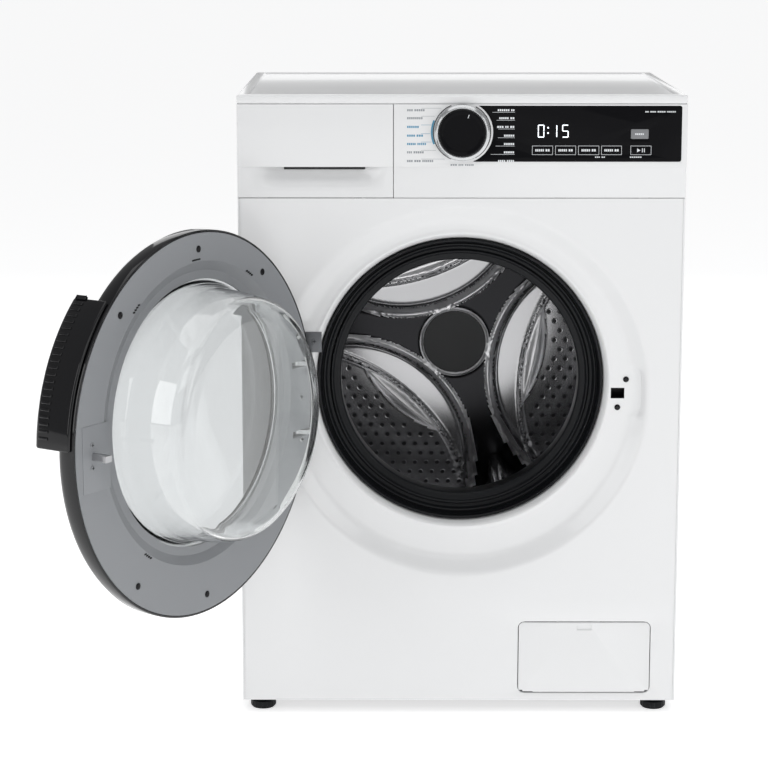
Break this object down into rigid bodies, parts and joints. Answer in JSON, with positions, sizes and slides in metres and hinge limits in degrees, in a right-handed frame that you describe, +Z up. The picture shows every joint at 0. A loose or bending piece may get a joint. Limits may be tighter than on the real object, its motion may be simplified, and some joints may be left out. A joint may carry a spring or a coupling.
{
  "type": "front load washing machine",
  "caption": "Free-standing front load washing machine in white with a black control window, round glass door standing open, perforated drum, detergent drawer and levelling feet.",
  "frame": {"origin": "on the floor under the centre of the cabinet's footprint", "axes": "+X to the right seen from the front, +Y from the front to the rear, +Z up"},
  "size_m": [0.8152, 0.9056, 0.85],
  "materials": {
    "white_enamel": "satin enamel",
    "white_plastic": "semi-gloss moulding",
    "pale_plastic": "natural moulding",
    "black_gloss": "high gloss",
    "black_plastic": "satin",
    "grey_plastic": "fine texture",
    "base_plastic": "ribbed moulding",
    "blue_plastic": "satin",
    "clear_glass": "polished",
    "smoked_window": "tinted",
    "black_rubber": "moulded",
    "stainless": "polished stainless",
    "zinc_steel": "zinc plated",
    "bright_steel": "bright",
    "cast_alloy": "as cast",
    "galvanised": "galvanised",
    "concrete": "cast",
    "motor_black": "painted",
    "board_green": "lacquered"
  },
  "bodies": {
    "cabinet": {"left_side_panel": "white_enamel", "right_side_panel": "white_enamel", "rear_panel": "galvanised", "rear_service_cover": "galvanised", "front_panel": "white_enamel", "worktop": "white_plastic", "base_tray": "base_plastic", "control_fascia": "white_plastic", "display_window": "black_gloss", "display_board": "board_green", "dispenser_housing": "pale_plastic", "dispenser_hoses": "black_rubber", "door_gasket": "black_rubber", "hinge_plate": "zinc_steel", "door_lock": "white_plastic", "inlet_valve": "white_plastic", "drain_pump": "pale_plastic", "drain_hoses": "black_rubber", "mains_gland": "black_plastic", "panel_screws": "zinc_steel", "tub_front": "pale_plastic", "tub_rear": "pale_plastic", "counterweights": "concrete", "heater": "bright_steel", "motor": "motor_black", "bearings": "bright_steel", "suspension_springs": "zinc_steel", "dampers": "black_plastic", "drive_belt": "black_rubber"},
    "drum": {"drum_shell": "stainless", "drum_back": "stainless", "drum_front_ring": "stainless", "drum_lifters": "stainless", "drum_spider": "cast_alloy", "drum_pulley": "cast_alloy"},
    "motor_drive": {"motor_pulley": "zinc_steel"},
    "drawer": {"drawer_front": "white_plastic", "drawer_tray": "pale_plastic", "softener_cap": "blue_plastic"},
    "knob": {"program_knob": "black_gloss"},
    "door": {"door_outer_frame": "black_gloss", "door_outer_window": "smoked_window", "door_inner_ring": "grey_plastic", "door_glass": "clear_glass", "door_handle": "black_plastic", "door_hinge": "zinc_steel", "door_screws": "zinc_steel"},
    "hook": {"latch_hook": "zinc_steel"},
    "flap": {"filter_flap": "white_plastic"},
    "filter": {"filter_cap": "grey_plastic"},
    "speed_key_body": {"speed_key": "black_gloss"},
    "temperature_key_body": {"temperature_key": "black_gloss"},
    "delay_key_body": {"delay_key": "black_gloss"},
    "function_key_body": {"function_key": "black_gloss"},
    "start_key_body": {"start_key": "black_gloss"},
    "power_key_body": {"power_key": "grey_plastic"},
    "foot_front_left_body": {"foot_front_left": "black_rubber"},
    "foot_front_right_body": {"foot_front_right": "black_rubber"},
    "foot_rear_left_body": {"foot_rear_left": "black_rubber"},
    "foot_rear_right_body": {"foot_rear_right": "black_rubber"}
  },
  "joints": [
    {"name": "door_hinge", "type": "hinge", "parent": "cabinet", "child": "door", "pos_m": [-0.222, -0.247, 0.447], "axis": [0, 0, 1], "range_deg": [-7, 123]},
    {"name": "hook_pivot", "type": "hinge", "parent": "door", "child": "hook", "pos_m": [-0.45305, -0.61563, 0.447], "axis": [0, 0, 1], "range_deg": [-6, 6], "stiffness_Nm_per_rad": 0.5},
    {"name": "drum_spin", "type": "hinge", "parent": "cabinet", "child": "drum", "pos_m": [0, 0, 0.463], "axis": [0, 1, 0], "continuous": true},
    {"name": "motor_spin", "type": "hinge", "parent": "cabinet", "child": "motor_drive", "pos_m": [0.21446, 0, 0.22482], "axis": [0, 1, 0], "continuous": true},
    {"name": "drawer_slide", "type": "slide", "parent": "cabinet", "child": "drawer", "axis": [0, -1, 0], "range_m": [0, 0.17]},
    {"name": "knob_turn", "type": "hinge", "parent": "cabinet", "child": "knob", "pos_m": [0, 0, 0.801], "axis": [0, -1, 0], "continuous": true},
    {"name": "flap_hinge", "type": "hinge", "parent": "cabinet", "child": "flap", "pos_m": [0.172, -0.23375, 0.0305], "axis": [1, 0, 0], "range_deg": [0, 85]},
    {"name": "filter_turn", "type": "hinge", "parent": "cabinet", "child": "filter", "pos_m": [0.172, -0.2, 0.079], "axis": [0, 1, 0], "range_deg": [-180, 0]},
    {"name": "speed_key_press", "type": "slide", "parent": "cabinet", "child": "speed_key_body", "axis": [0, 1, 0], "range_m": [0, 0.001], "stiffness_N_per_m": 400},
    {"name": "temperature_key_press", "type": "slide", "parent": "cabinet", "child": "temperature_key_body", "axis": [0, 1, 0], "range_m": [0, 0.001], "stiffness_N_per_m": 400},
    {"name": "delay_key_press", "type": "slide", "parent": "cabinet", "child": "delay_key_body", "axis": [0, 1, 0], "range_m": [0, 0.001], "stiffness_N_per_m": 400},
    {"name": "function_key_press", "type": "slide", "parent": "cabinet", "child": "function_key_body", "axis": [0, 1, 0], "range_m": [0, 0.001], "stiffness_N_per_m": 400},
    {"name": "start_key_press", "type": "slide", "parent": "cabinet", "child": "start_key_body", "axis": [0, 1, 0], "range_m": [0, 0.001], "stiffness_N_per_m": 400},
    {"name": "power_key_press", "type": "slide", "parent": "cabinet", "child": "power_key_body", "axis": [0, 1, 0], "range_m": [0, 0.001], "stiffness_N_per_m": 400},
    {"name": "foot_front_left_height", "type": "slide", "parent": "cabinet", "child": "foot_front_left_body", "axis": [0, 0, -1], "range_m": [0, 0.015]},
    {"name": "foot_front_right_height", "type": "slide", "parent": "cabinet", "child": "foot_front_right_body", "axis": [0, 0, -1], "range_m": [0, 0.015]},
    {"name": "foot_rear_left_height", "type": "slide", "parent": "cabinet", "child": "foot_rear_left_body", "axis": [0, 0, -1], "range_m": [0, 0.015]},
    {"name": "foot_rear_right_height", "type": "slide", "parent": "cabinet", "child": "foot_rear_right_body", "axis": [0, 0, -1], "range_m": [0, 0.015]}
  ],
  "couplings": [
    {"joint": "motor_spin", "follows": "drum_spin", "ratio": 14.5}
  ]
}
